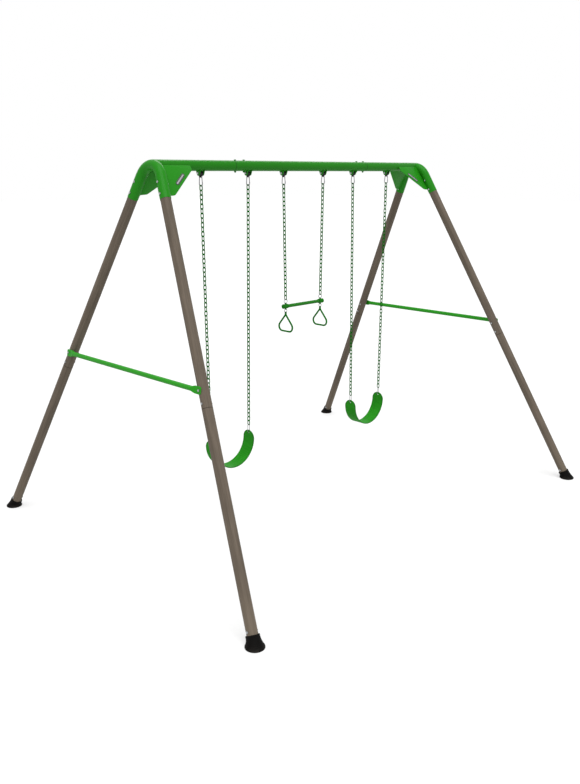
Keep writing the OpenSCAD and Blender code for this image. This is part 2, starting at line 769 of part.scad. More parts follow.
// Rounded triangular hand ring with an eye at its top
module handle(side) {
    half_t = handle_eye_t / 2;
    color(dark_green) translate([side * trapeze_half, 0, 0]) difference() {
        union() {
            translate([0, 0, handle_low_z]) rotate([90, 0, 0])
                bar(handle_rod_r - join_step, -corner_y - join_depth, corner_y + join_depth);
            for (sy = [-1, 1]) mirror([0, sy < 0 ? 1 : 0, 0]) {
                translate([0, corner_y, corner_z]) {
                    bent_bar(handle_corner_r, handle_rod_r, 90 - side_angle, 180);
                    rotate([side_angle, 0, 0]) translate([0, handle_corner_r, 0])
                        bar(handle_rod_r - join_step, -join_depth,
                            side_reach * cos(asin(handle_corner_r / side_reach)) - 1.25 * join_depth);
                }
            }
            translate([0, 0, crotch_z]) sphere(handle_neck_r + seat_gap);
            bar(handle_neck_r, crotch_z, handle_eye_z - handle_eye_r);
            translate([0, 0, handle_eye_z]) rotate([0, 90, 0])
                cylinder(h = handle_eye_t, r = handle_eye_r, center = true);
            translate([-half_t, -handle_eye_r, handle_eye_z - handle_eye_r - half_t])
                cube([handle_eye_t, 2 * handle_eye_r, handle_eye_r + half_t]);
        }
        translate([0, 0, handle_eye_z]) rotate([0, 90, 0])
            cylinder(h = 2 * handle_eye_t, r = handle_hole_r, center = true);
    }
}

arch(-1);  // arch_left
arch(1);  // arch_right
upper_leg(-1, -1);  // upper_leg_left_front
upper_leg(-1, 1);  // upper_leg_left_back
upper_leg(1, -1);  // upper_leg_right_front
upper_leg(1, 1);  // upper_leg_right_back
lower_leg(-1, -1);  // lower_leg_left_front
lower_leg(-1, 1);  // lower_leg_left_back
lower_leg(1, -1);  // lower_leg_right_front
lower_leg(1, 1);  // lower_leg_right_back
foot(-1, -1);  // foot_left_front
foot(-1, 1);  // foot_left_back
foot(1, -1);  // foot_right_front
foot(1, 1);  // foot_right_back
beam_end(-1);  // beam_left
beam_middle();
beam_end(1);  // beam_right
gusset(-1, -1);  // gusset_left_front
gusset(-1, 1);  // gusset_left_back
gusset(1, -1);  // gusset_right_front
gusset(1, 1);  // gusset_right_back
blank_plates();
cross_brace(-1);  // cross_brace_left
cross_brace(1);  // cross_brace_right
hanger_brackets(-swing_spacing);  // hanger_brackets_left
hanger_brackets(0);  // hanger_brackets_middle
hanger_brackets(swing_spacing);  // hanger_brackets_right
pivot_bolts();
leg_bolts();
beam_bolts();
brace_bolts();
bearings(-swing_spacing);  // bearings_left
bearings(0);  // bearings_middle
bearings(swing_spacing);  // bearings_right
snap_hooks(-swing_spacing, belt_lean);  // snap_hooks_left
snap_hooks(0, trapeze_lean);  // snap_hooks_middle
snap_hooks(swing_spacing, belt_lean);  // snap_hooks_right
gate(-swing_spacing, -1, belt_lean);  // gate_left_outer
gate(-swing_spacing, 1, belt_lean);  // gate_left_inner
gate(0, -1, trapeze_lean);  // gate_middle_left
gate(0, 1, trapeze_lean);  // gate_middle_right
gate(swing_spacing, -1, belt_lean);  // gate_right_inner
gate(swing_spacing, 1, belt_lean);  // gate_right_outer
chain(-swing_spacing, -1, belt_lean, belt_links);  // chain_left_outer
chain(-swing_spacing, 1, belt_lean, belt_links);  // chain_left_inner
chain(0, -1, trapeze_lean, trapeze_links);  // chain_middle_left
chain(0, 1, trapeze_lean, trapeze_links);  // chain_middle_right
chain(swing_spacing, -1, belt_lean, belt_links);  // chain_right_inner
chain(swing_spacing, 1, belt_lean, belt_links);  // chain_right_outer
seat_links(-swing_spacing);  // seat_links_left
seat_links(swing_spacing);  // seat_links_right
belt_seat(-swing_spacing);  // belt_seat_left
belt_seat(swing_spacing);  // belt_seat_right
trapeze_rings();
trapeze_bar();
bar_fittings();
handle_ring(-1);  // handle_ring_left
handle_ring(1);  // handle_ring_right
handle(-1);  // handle_left
handle(1);  // handle_right
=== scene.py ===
import json
from math import copysign, cos, hypot, pi, radians, sin, sqrt

import bmesh
import bpy
import numpy as np
from mathutils import Matrix, Vector

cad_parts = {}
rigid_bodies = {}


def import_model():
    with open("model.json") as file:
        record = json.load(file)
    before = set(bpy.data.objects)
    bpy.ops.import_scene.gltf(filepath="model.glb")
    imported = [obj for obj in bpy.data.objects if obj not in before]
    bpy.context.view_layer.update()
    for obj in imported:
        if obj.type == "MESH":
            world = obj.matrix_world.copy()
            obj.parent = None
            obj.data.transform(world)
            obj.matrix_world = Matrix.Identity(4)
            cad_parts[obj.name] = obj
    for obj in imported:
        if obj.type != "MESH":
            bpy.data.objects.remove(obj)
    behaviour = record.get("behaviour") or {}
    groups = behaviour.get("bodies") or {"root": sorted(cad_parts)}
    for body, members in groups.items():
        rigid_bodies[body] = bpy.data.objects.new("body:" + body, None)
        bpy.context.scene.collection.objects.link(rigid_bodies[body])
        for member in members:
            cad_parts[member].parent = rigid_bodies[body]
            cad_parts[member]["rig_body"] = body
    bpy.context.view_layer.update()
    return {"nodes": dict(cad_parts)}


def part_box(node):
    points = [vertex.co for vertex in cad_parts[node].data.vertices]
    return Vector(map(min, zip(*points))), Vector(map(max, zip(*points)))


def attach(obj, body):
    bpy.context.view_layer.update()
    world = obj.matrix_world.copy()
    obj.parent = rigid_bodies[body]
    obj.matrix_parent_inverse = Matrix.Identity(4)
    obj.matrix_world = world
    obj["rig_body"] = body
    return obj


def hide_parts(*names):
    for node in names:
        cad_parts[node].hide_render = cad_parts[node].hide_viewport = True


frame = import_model()
nodes = frame["nodes"]


# ---- The camera ----
# The swing set is seen from the front left, a little below the height of its beam. These points of
# the photograph settled the camera; the first four are the edges of the object.

WIDTH, HEIGHT = 580, 784
PHOTO_POINTS = {
    "left edge": (6.5, None),
    "right edge": (574.0, None),
    "top edge": (None, 159.1),
    "bottom edge": (None, 654.3),
    "left outer snap hook": (201.0, 181.0),
    "right outer snap hook": (386.1, 180.2),
    "left seat, right tip": (248.4, 428.8),
    "right seat, left tip": (350.3, 399.3),
    "right seat, right tip": (377.8, 391.0),
    "right seat, bottom": (366.2, 423.8),
    "trapeze bar, left end": (282.4, 305.5),
    "trapeze bar, right end": (322.5, 300.3),
    "left hand ring, bottom": (290.0, 332.5),
    "right hand ring, bottom": (324.0, 326.0),
    "left brace, right end": (201.2, 391.4),
}
SENSOR = 36.0
LENS = 37.166
CAMERA_AT = Vector((-4.16824, -4.02788, 2.36121))
CAMERA_TURN = radians(45.04)
CAMERA_DIP = radians(15.201)

camera_data = bpy.data.cameras.new("camera")
camera_data.sensor_fit = "AUTO"
camera_data.sensor_width = SENSOR
camera_data.lens = LENS
camera = bpy.data.objects.new("camera", camera_data)
camera.location = CAMERA_AT
camera.rotation_euler = (pi / 2 - CAMERA_DIP, 0, -CAMERA_TURN)
bpy.context.scene.collection.objects.link(camera)
bpy.context.scene.camera = camera


# ---- Leg tubes ----
# Steel tube, powder coated taupe over a fine grain that runs along the tube. The lower tube's
# narrowed end slips into the upper one, which leaves a fine seam half way up the leg.

class Socket:
    """One output of a node. Sums on it add Math nodes, so a mask can be written as 1 - mask."""

    def __init__(self, tree, output):
        self.tree = tree
        self.output = output

    def sum(self, operation, a, b):
        return make_node(self.tree, "ShaderNodeMath", {"operation": operation}, {0: a, 1: b})

    def __add__(self, other):
        return self.sum("ADD", self, other)

    def __sub__(self, other):
        return self.sum("SUBTRACT", self, other)

    def __rsub__(self, other):
        return self.sum("SUBTRACT", other, self)

    def __mul__(self, other):
        return self.sum("MULTIPLY", self, other)

    __radd__ = __add__
    __rmul__ = __mul__


def make_node(tree, kind, settings, inputs, output=0):
    """Adds a node: its settings first, then a value or a link for each named or numbered input."""
    node = tree.nodes.new(kind)
    for name, value in settings.items():
        if name == "stops":
            ramp = node.color_ramp
            for _ in value[2:]:
                ramp.elements.new(0.5)
            for element, (place, colour) in zip(ramp.elements, value):
                element.position = place
                element.color = (*colour, 1)
        else:
            setattr(node, name, value)
    for name, value in inputs.items():
        if isinstance(value, Socket):
            tree.links.new(value.output, node.inputs[name])
        else:
            node.inputs[name].default_value = value
    return Socket(tree, node.outputs[output])


def srgb(red, green, blue):
    """A colour as it is seen on the screen, from 0 to 255, turned into the light it stands for."""
    def light(value):
        value /= 255
        return value / 12.92 if value <= 0.04045 else ((value + 0.055) / 1.055) ** 2.4
    return light(red), light(green), light(blue)


def new_material(name):
    material = bpy.data.materials.new(name)
    material.use_nodes = True
    tree = material.node_tree
    tree.nodes.remove(tree.nodes["Principled BSDF"])
    return material, tree


def place_in_frame(tree):
    """Where a point of the surface lies in the shared frame, in metres."""
    return make_node(tree, "ShaderNodeTexCoord", {}, {}, "Object")


def grains(tree, place, scale, detail, roughness=0.5):
    """Fine random variation, about scale grains to a metre."""
    return make_node(tree, "ShaderNodeTexNoise", {},
                     {"Vector": place, "Scale": scale, "Detail": detail, "Roughness": roughness})


def between(tree, mask, low, high):
    """Turns a mask from low to high into one from 0 to 1, and holds it there."""
    return make_node(tree, "ShaderNodeMapRange", {"interpolation_type": "SMOOTHSTEP"},
                     {"Value": mask, "From Min": low, "From Max": high})


FACTOR, COLOUR_A, COLOUR_B, COLOUR_RESULT = 0, 6, 7, 2


def mixed(tree, mask, first, second):
    """The first colour where the mask is 0 and the second where it is 1."""
    colours = {COLOUR_A: first if isinstance(first, Socket) else (*first, 1),
               COLOUR_B: second if isinstance(second, Socket) else (*second, 1)}
    return make_node(tree, "ShaderNodeMix", {"data_type": "RGBA"}, {FACTOR: mask, **colours},
                     COLOUR_RESULT)


def bumped(tree, height, depth, before=None):
    """A surface that rises by depth metres where height is 1, over another bump if there is one."""
    inputs = {"Height": height, "Strength": 1.0, "Distance": depth}
    if before:
        inputs["Normal"] = before
    return make_node(tree, "ShaderNodeBump", {}, inputs)


def finish(material, tree, **inputs):
    """Ends a material in one Principled shader, whose inputs are given by name."""
    named = {name.replace("_", " ").title().replace("Ior", "IOR"): value
             for name, value in inputs.items()}
    shader = make_node(tree, "ShaderNodeBsdfPrincipled", {}, named)
    tree.links.new(shader.output, tree.nodes["Material Output"].inputs["Surface"])
    return material


def dress(node, material):
    nodes[node].data.materials.clear()
    nodes[node].data.materials.append(material)


def tube_axis(node):
    """The middle of a straight tube and the direction in which it runs, upward."""
    points = np.array([vertex.co for vertex in nodes[node].data.vertices])
    middle = points.mean(axis=0)
    along = Vector(np.linalg.svd(points - middle, full_matrices=False)[2][0])
    return Vector(middle), along if along.z > 0 else -along


LEG_COLOURS = [(0.0, srgb(84, 75, 65)), (0.38, srgb(104, 94, 83)), (0.6, srgb(114, 103, 91)),
               (1.0, srgb(134, 120, 109))]
GRAIN_STRETCH = 26.0
GRAIN_DEPTH = 0.00022
LEG_PEEL_DEPTH = 0.00003
LEG_SEAM = 0.0022
DUST_FROM, DUST_TO = 0.05, 0.4


def ground_height(tree, place):
    return make_node(tree, "ShaderNodeSeparateXYZ", {}, {0: place}, "Z")


def seam_shade(tree, from_seam, half_width, faded_at):
    """1 within the half width of a seam, and 0 from where its shade has faded."""
    away = make_node(tree, "ShaderNodeMath", {"operation": "ABSOLUTE"}, {0: from_seam})
    return 1 - between(tree, away, half_width, faded_at)


def leg_paint(name, along, seam_at):
    """Taupe powder coat whose grain runs along the tube, darker in the seam between the tubes."""
    material, tree = new_material(name)
    place = place_in_frame(tree)
    across = along.cross(Vector((0, 0, 1))).normalized()
    rows = [across, across.cross(along), along]
    parts = [make_node(tree, "ShaderNodeVectorMath", {"operation": "DOT_PRODUCT"},
                       {0: place, 1: row}, 1) for row in rows]
    turned = make_node(tree, "ShaderNodeCombineXYZ", {},
                       {0: parts[0], 1: parts[1], 2: parts[2] * (1 / GRAIN_STRETCH)})
    streak = grains(tree, turned, scale=190.0, detail=4.0, roughness=0.62)
    broad = grains(tree, turned, scale=62.0, detail=2.0)
    cloud = grains(tree, place, scale=5.0, detail=2.0)
    tone = make_node(tree, "ShaderNodeValToRGB", {"stops": LEG_COLOURS},
                     {"Fac": streak * 0.9 + broad * 0.8 + cloud * 0.4 - 0.55})
    seam = seam_shade(tree, parts[2] - seam_at, LEG_SEAM / 2, LEG_SEAM)
    shaded = mixed(tree, seam * 0.8, tone, srgb(38, 33, 30))
    low = 1 - between(tree, ground_height(tree, place), DUST_FROM, DUST_TO)
    dusty = mixed(tree, low * 0.25, shaded, srgb(140, 128, 110))
    peel = grains(tree, place, scale=900.0, detail=1.0)
    return finish(material, tree, base_color=dusty, roughness=streak * 0.18 + 0.38,
                  specular_ior_level=0.08,
                  normal=bumped(tree, peel, LEG_PEEL_DEPTH, bumped(tree, streak, GRAIN_DEPTH)))


def lower_end(node, along):
    """How far along a direction a node starts."""
    return min(vertex.co.dot(along) for vertex in nodes[node].data.vertices)


LEGS = [f"{side}_{end}" for side in ("left", "right") for end in ("front", "back")]
leg_axes = {leg: tube_axis(f"lower_leg_{leg}") for leg in LEGS}
for leg in LEGS:
    _, along = leg_axes[leg]
    taupe = leg_paint(f"leg_paint_{leg}", along, lower_end(f"upper_leg_{leg}", along))
    dress(f"upper_leg_{leg}", taupe)
    dress(f"lower_leg_{leg}", taupe)


# ---- Arches and top beam ----
# Steel tube, bright green gloss powder coat. Each arch is bent from one tube and takes the two
# legs of its A-frame; the beam is three tubes whose joints are bolted from above.

PEEL_DEPTH = 0.00005
SCRATCH_WIDTH = 0.006
BEAM_SEAM = (0.0012, 0.003)


def green_paint(name, colour, shade, rough_from, seams_at=()):
    """Clouded powder coat with orange peel, fine scratches, dust on top and dark tube seams."""
    material, tree = new_material(name)
    place = place_in_frame(tree)
    cloud = grains(tree, place, scale=3.5, detail=3.0)
    peel = grains(tree, place, scale=420.0, detail=1.0)
    mottle = grains(tree, place, scale=60.0, detail=3.0)
    scratch = make_node(tree, "ShaderNodeTexVoronoi", {"feature": "DISTANCE_TO_EDGE"},
                        {"Vector": place, "Scale": 34.0, "Randomness": 1.0})
    scratched = (1 - between(tree, scratch, 0.0, SCRATCH_WIDTH)) * between(tree, mottle, 0.56, 0.66)
    facing = make_node(tree, "ShaderNodeNewGeometry", {}, {}, "Normal")
    upward = make_node(tree, "ShaderNodeSeparateXYZ", {}, {0: facing}, "Z")
    dust = between(tree, upward, 0.55, 1.0) * between(tree, mottle, 0.35, 0.7) * 0.07
    painted = mixed(tree, cloud, srgb(*shade), srgb(*colour))
    marked = mixed(tree, scratched * 0.3, painted, srgb(120, 168, 104))
    coat = mixed(tree, dust, marked, srgb(170, 176, 150))
    for seam_at in seams_at:
        along_beam = make_node(tree, "ShaderNodeSeparateXYZ", {}, {0: place}, "X")
        seam = seam_shade(tree, along_beam - seam_at, *BEAM_SEAM)
        coat = mixed(tree, seam * 0.75, coat, srgb(8, 44, 6))
    rough = mottle * 0.12 + scratched * 0.2 + dust * 0.9 + rough_from
    return finish(material, tree, base_color=coat, roughness=rough, coat_weight=0.2,
                  coat_roughness=0.3, specular_ior_level=0.03,
                  normal=bumped(tree, peel, PEEL_DEPTH))


frame_green = green_paint("frame_green", (40, 146, 26), (32, 134, 20), rough_from=0.3)
# Painted shade: the beam takes the arches' green made darker all over; its dark tube seams mark the
# joints.
beam_green_painted_shade = green_paint("beam_green_painted_shade", (34, 134, 20), (28, 120, 15), rough_from=0.3,
                         seams_at=[corner.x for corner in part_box("beam_middle")])
for node in ("arch_left", "arch_right"):
    dress(node, frame_green)
for node in ("beam_left", "beam_middle", "beam_right"):
    dress(node, beam_green_painted_shade)


# ---- Gussets ----
# Plates of 3 mm steel, pressed, with softened edges. They are welded to the beam and to the arch
# and painted with them.

def finished_mesh(piece):
    """The mesh of a piece with its modifiers applied."""
    whole = piece.evaluated_get(bpy.context.evaluated_depsgraph_get())
    mesh = bpy.data.meshes.new_from_object(whole)
    piece.modifiers.clear()
    piece.data = mesh
    return mesh


SAME_POINT = 1e-6
GUSSET_ROUNDING = 0.0007


def stand_in(node, mesh, *materials):
    """Puts a finished mesh in the place of a CAD node."""
    if mesh.materials:  # clearing an empty list would still undo the faces' own choice of material
        mesh.materials.clear()
    for material in materials:
        mesh.materials.append(material)
    piece = bpy.data.objects.new(f"{node}_finished", mesh)
    bpy.context.scene.collection.objects.link(piece)
    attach(piece, nodes[node]["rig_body"])
    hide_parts(node)
    return piece


def mesh_of(form, name, sharp_from):
    """Closes a bmesh and gives its mesh, shaded smooth up to that angle."""
    bmesh.ops.recalc_face_normals(form, faces=form.faces)
    mesh = bpy.data.meshes.new(name)
    form.to_mesh(mesh)
    form.free()
    smooth(mesh, sharp_from)
    return mesh


def smooth(mesh, sharp_from=35):
    mesh.shade_smooth()
    mesh.set_sharp_from_angle(angle=radians(sharp_from))


def softened(node, width, material):
    """Stands for a CAD node with its sharp edges rounded to that width."""
    mesh = nodes[node].data.copy()
    form = bmesh.new()
    form.from_mesh(mesh)
    bmesh.ops.remove_doubles(form, verts=form.verts, dist=SAME_POINT)
    bmesh.ops.dissolve_limit(form, angle_limit=radians(1), verts=form.verts, edges=form.edges)
    form.to_mesh(mesh)
    form.free()
    piece = stand_in(node, mesh, material)
    bevel = piece.modifiers.new("rounding", "BEVEL")
    bevel.width = width
    bevel.segments = 2
    bevel.limit_method = "ANGLE"
    bevel.angle_limit = radians(40)
    smooth(finished_mesh(piece))


for side in ("left", "right"):
    for end in ("front", "back"):
        softened(f"gusset_{side}_{end}", GUSSET_ROUNDING, frame_green)


# ---- Blank plates ----
# A small aluminium plate, left blank, is fixed to the outer face of each front gusset. Its dark rim
# stands a little above its brushed middle.

def islands(mesh):
    """The separate solids of a mesh, each as an array of its points."""
    form = bmesh.new()
    form.from_mesh(mesh)
    bmesh.ops.remove_doubles(form, verts=form.verts, dist=SAME_POINT)
    reached, found = set(), []
    for start in form.verts:
        if start in reached:
            continue
        reached.add(start)
        group = [start]
        for vertex in group:  # the group grows while this runs
            for edge in vertex.link_edges:
                other = edge.other_vert(vertex)
                if other not in reached:
                    reached.add(other)
                    group.append(other)
        found.append(np.array([vertex.co for vertex in group]))
    form.free()
    return sorted(found, key=lambda points: tuple(points.mean(axis=0).round(4)))


def axes_of(points):
    """A solid's box: its middle, its axes from the longest to the shortest, and its sizes."""
    middle = points.mean(axis=0)
    axes = np.linalg.svd(points - middle, full_matrices=False)[2]
    reach = (points - middle) @ axes.T
    low, high = reach.min(axis=0), reach.max(axis=0)
    return Vector(middle + (low + high) / 2 @ axes), [Vector(axis) for axis in axes], high - low


def slot_outline(length, width, steps=16):
    """A slot-shaped outline: two half circles joined by straight sides."""
    radius, half = width / 2, (length - width) / 2
    turns = [pi * k / steps - pi / 2 for k in range(steps + 1)]
    right = [(half + radius * cos(a), radius * sin(a)) for a in turns]
    return right + [(-x, -y) for x, y in right]


def stacked(form, rings):
    """Joins rings of points, each as long as the last, into a closed skin. Gives bands and lid."""
    made = [[form.verts.new(point) for point in ring] for ring in rings]
    bands = [[form.faces.new((low[k - 1], low[k], high[k], high[k - 1])) for k in range(len(low))]
             for low, high in zip(made, made[1:])]
    form.faces.new(made[0][::-1])
    return bands, form.faces.new(made[-1])


def plate_metal():
    material, tree = new_material("plate_metal")
    lengthwise = make_node(tree, "ShaderNodeVectorMath", {"operation": "MULTIPLY"},
                           {0: place_in_frame(tree), 1: (30.0, 400.0, 400.0)})
    brushed = grains(tree, lengthwise, scale=6.0, detail=3.0)
    return finish(material, tree,
                  base_color=mixed(tree, brushed, srgb(150, 151, 153), srgb(188, 189, 191)),
                  metallic=0.9, roughness=brushed * 0.2 + 0.28,
                  normal=bumped(tree, brushed, depth=0.00002))


def plate_rim():
    material, tree = new_material("plate_rim")
    mottle = grains(tree, place_in_frame(tree), scale=200.0, detail=2.0)
    return finish(material, tree,
                  base_color=mixed(tree, mottle, srgb(38, 44, 40), srgb(58, 64, 60)),
                  roughness=mottle * 0.2 + 0.35)


RIM = 0.0064
# How far each ring of a plate lies in from its outline, and how high as a share of its thickness.
PLATE_RINGS = [(0.0, 0.0), (0.0, 0.8), (0.0004, 1.0), (RIM, 1.0), (RIM + 0.0005, 0.55),
               (RIM + 0.004, 0.62)]

plate_silver, plate_dark = plate_metal(), plate_rim()
plates = bmesh.new()
for solid in islands(nodes["blank_plates"].data):
    middle, (along, across, out), size = axes_of(solid)
    out = out if out.y < 0 else -out
    across = out.cross(along)
    rings = []
    for inset, level in PLATE_RINGS:
        lift = out * size[2] * (level - 0.5)
        rings.append([middle + lift + along * x + across * y
                      for x, y in slot_outline(size[0] - 2 * inset, size[1] - 2 * inset)])
    bands, lid = stacked(plates, rings)
    for face in [*bands[-2], *bands[-1], lid]:
        face.material_index = 1
stand_in("blank_plates", mesh_of(plates, "blank_plates", sharp_from=40), plate_dark, plate_silver)


# ---- Cross braces ----
# A 30 mm steel tube, painted green, between the two legs of each A-frame. Its ends are pressed
# flat, which spreads them to a tab, and bolted to the outer faces of the legs.

BRACE_R = 0.015
TAB_HALF_T = 0.0019
TAB_NECK = 0.030
TAB_TAPER = 0.034
TAB_TIP = 0.017
TAB_CORNER = 0.011
FLAT_BEFORE_BOLT = 0.02
TIP_SETBACK = 0.0003
TIP_THINNED = 0.25
ROUND_PART_SLACK = 0.002
TAPER_STEPS = 12
CORNER_STEPS = 8
BRACE_SIDES = 40


def round_turn(count):
    """That many angles, evenly round a circle."""
    return [2 * pi * k / count for k in range(count)]


def brace_section(half_thick, half_high):
    """A tube pressed towards a flat bar: from a circle to a slot shape, as its sizes ask."""
    power = 2 + 6 * (1 - half_thick / BRACE_R)
    return [(half_thick * copysign(abs(cos(a)) ** (2 / power), cos(a)),
             half_high * copysign(abs(sin(a)) ** (2 / power), sin(a)))
            for a in round_turn(BRACE_SIDES)]


def pressed_brace(side, material):
    """Sections from tip to tip, the same on both halves, with tabs that lie flat on the legs."""
    node = f"cross_brace_{side}"
    low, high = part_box(node)
    points = np.array([vertex.co for vertex in nodes[node].data.vertices])
    flat_from = high.y - TAB_TIP - TAB_NECK
    round_part = points[abs(points[:, 1]) < flat_from - TAB_TAPER + ROUND_PART_SLACK]
    middle = Vector(round_part.mean(axis=0))
    _, up = leg_axes[f"{side}_front"]
    up = Vector((up.x, 0, up.z)).normalized()
    out = Vector((up.z, 0, -up.x)) * (1 if middle.x > 0 else -1)
    tab_high = (high.z - low.z) / 2 / up.z
    bolt_y = high.y - TAB_TIP
    stations = [(0, 0.0)]
    tapers = [t / TAPER_STEPS for t in range(TAPER_STEPS + 1)]
    stations += [(flat_from - TAB_TAPER * (1 - taper), taper) for taper in tapers]
    stations += [(bolt_y - FLAT_BEFORE_BOLT, 1.0), (bolt_y, 1.0)]
    rings = []
    for y, pressed in stations:
        ease = pressed * pressed * (3 - 2 * pressed)
        rings.append((y, BRACE_R + (TAB_HALF_T - BRACE_R) * ease,
                      BRACE_R + (tab_high - BRACE_R) * ease))
    for a in (pi / 2 * t / CORNER_STEPS for t in range(CORNER_STEPS + 1)):
        rings.append((high.y - TAB_CORNER * (1 - sin(a)) - TIP_SETBACK,
                      TAB_HALF_T * (1 - TIP_THINNED * sin(a) ** 8),
                      tab_high - TAB_CORNER * (1 - cos(a))))
    whole = [(-y, thick, tall) for y, thick, tall in rings[:0:-1]] + rings
    form = bmesh.new()
    stacked(form, [[Vector((middle.x, y, middle.z)) + out * x + up * z
                    for x, z in brace_section(thick, tall)] for y, thick, tall in whole])
    stand_in(node, mesh_of(form, node, sharp_from=50), material)


# Painted highlight: the braces take the frame's green made brighter, the same powder coat as the
# arches.
brace_green_painted_highlight = green_paint("brace_green_painted_highlight", (48, 164, 34), (40, 152, 28), rough_from=0.28)
for side in ("left", "right"):
    pressed_brace(side, brace_green_painted_highlight)


# ---- Feet ----
# Moulded black rubber boots pushed over the leg ends, flared to a wide flat sole, with a thick
# rolled lip round the leg and three grooves round the skirt.

def foot_rubber():
    material, tree = new_material("foot_rubber")
    place = place_in_frame(tree)
    pitted = grains(tree, place, scale=350.0, detail=3.0)
    cloud = grains(tree, place, scale=22.0, detail=3.0)
    low = 1 - between(tree, ground_height(tree, place), 0.0, 0.03)
    scuffed = mixed(tree, low * between(tree, cloud, 0.4, 0.7) * 0.35 + cloud * 0.12,
                    srgb(6, 6, 6), srgb(66, 63, 57))
    return finish(material, tree, base_color=scuffed, roughness=cloud * 0.2 + 0.5,
                  specular_ior_level=0.05, normal=bumped(tree, pitted, depth=0.00012))


SOLE_R = 0.054
MOUTH_R = 0.0318
MOUTH_AT = 0.064
SKIRT_STEPS = 60
SKIRT_WAIST = 0.055
GROOVES = (0.55, 0.69, 0.83)
GROOVE_HALF = 0.035
GROOVE_DEPTH = 0.026
BOOT_SIDES = 64
# The lip, from inside the mouth over the top to its outer edge: how far below the mouth's rim, and
# how far out from the leg.
LIP = [(0.004, 0.0), (0.001, 0.0012), (0.0, 0.0035), (0.001, 0.0058), (0.004, 0.007),
       (0.009, 0.0072), (0.012, 0.0062)]
# The sole, from its upper edge to the ground: its height, and how far it stays inside its radius.
SOLE = [(0.0095, 0.0014), (0.0075, 0.0), (0.0015, 0.0), (0.0, 0.0015), (0.0, SOLE_R * 0.2)]
INSIDE_FROM = 0.030


def boot(leg, material):
    """Rings from inside the lip, over it and down the grooved skirt to the sole."""
    node = f"foot_{leg}"
    point, along = leg_axes[leg]
    ground = point - along * (point.z / along.z)
    side_way = along.cross(Vector((0, 0, 1))).normalized()
    rim_way = along.cross(side_way)
    flat_way = Vector((0, 0, 1)).cross(side_way)

    def ring(centre, second_way, radius):
        return [centre + (side_way * cos(a) + second_way * sin(a)) * radius
                for a in round_turn(BOOT_SIDES)]

    rings = [ring(ground + along * INSIDE_FROM, rim_way, MOUTH_R)]
    rings += [ring(ground + along * (MOUTH_AT - below), rim_way, MOUTH_R + out)
              for below, out in LIP]
    soles = [ring(Vector((ground.x, ground.y, z)), flat_way, SOLE_R - inside)
             for z, inside in SOLE]
    lip_under = rings[-1]
    for step in range(1, SKIRT_STEPS):
        t = step / SKIRT_STEPS
        groove = max(1 - abs(t - at) / GROOVE_HALF for at in GROOVES)
        pull = 1 - SKIRT_WAIST * sin(pi * t) - GROOVE_DEPTH * max(groove, 0)
        skirt = []
        for top, bottom in zip(lip_under, soles[0]):
            straight = top.lerp(bottom, t)
            axis = ground + along * ((straight - ground).dot(along))
            skirt.append(axis + (straight - axis) * pull)
        rings.append(skirt)
    form = bmesh.new()
    stacked(form, rings + soles)
    stand_in(node, mesh_of(form, node, sharp_from=60), material)


boot_rubber = foot_rubber()
for leg in LEGS:
    boot(leg, boot_rubber)


# ---- Bolts ----
# Zinc-plated hex bolts with chamfered heads and nuts. Their heads are on the outer faces of the
# legs and on top of the beam, where the beam's own are painted over with it.

def zinc(name, low, high, rough_from):
    material, tree = new_material(name)
    place = place_in_frame(tree)
    spangle = grains(tree, place, scale=240.0, detail=2.0)
    cloud = grains(tree, place, scale=40.0, detail=2.0)
    return finish(material, tree,
                  base_color=mixed(tree, spangle * 0.6 + cloud * 0.4, srgb(*low), srgb(*high)),
                  metallic=1.0, roughness=spangle * 0.14 + cloud * 0.1 + rough_from,
                  normal=bumped(tree, spangle, depth=0.00001))


HEAD_H = 0.0053
NUT_H = 0.0065
TAIL = 0.003
BOLT_R = 0.004
ACROSS_FLATS = 0.013
THREAD_PITCH = 0.00125
THREAD_ROOT = 0.9
SHANK_TOP, SHANK_TIP = 0.97, 0.86
HEAD_SIDES, SHANK_SIDES = 36, 24
LONGEST_NUT = 0.02
SUNK = 0.0005
# A head's or nut's rings: how high as a share of its height, and the round limit that turns off its
# corners, as a share of half its width.
CHAMFERS = [(0, 0.93), (0.05, 1.0), (0.12, 1.16), (0.78, 1.16), (0.9, 1.05), (1.0, 0.92)]


def hex_reach(angle):
    """How far a hexagon reaches at an angle, as a share of half its width across the flats."""
    return 1 / cos((angle + pi / 6) % (pi / 3) - pi / 6)


def hex_block(form, at, along, start_way, height):
    """A hexagonal head or nut whose corners are turned off at both ends."""
    up_way = along.cross(start_way)
    stacked(form, [[at + along * height * level + (start_way * cos(a) + up_way * sin(a))
                    * min(hex_reach(a), limit) * ACROSS_FLATS / 2 for a in round_turn(HEAD_SIDES)]
                   for level, limit in CHAMFERS])


def threaded_shank(form, at, along, start_way, length):
    """A shank with ring-shaped ridges in place of its thread, a little thinner at both ends."""
    up_way = along.cross(start_way)
    levels = [(0.0, BOLT_R * SHANK_TOP)]
    z = 0.0
    while z < length - THREAD_PITCH:
        levels += [(z + THREAD_PITCH / 2, BOLT_R), (z + THREAD_PITCH, BOLT_R * THREAD_ROOT)]
        z += THREAD_PITCH
    levels += [(length, BOLT_R * SHANK_TIP)]
    stacked(form, [[at + along * z + (start_way * cos(a) + up_way * sin(a)) * r
                    for a in round_turn(SHANK_SIDES)] for z, r in levels])


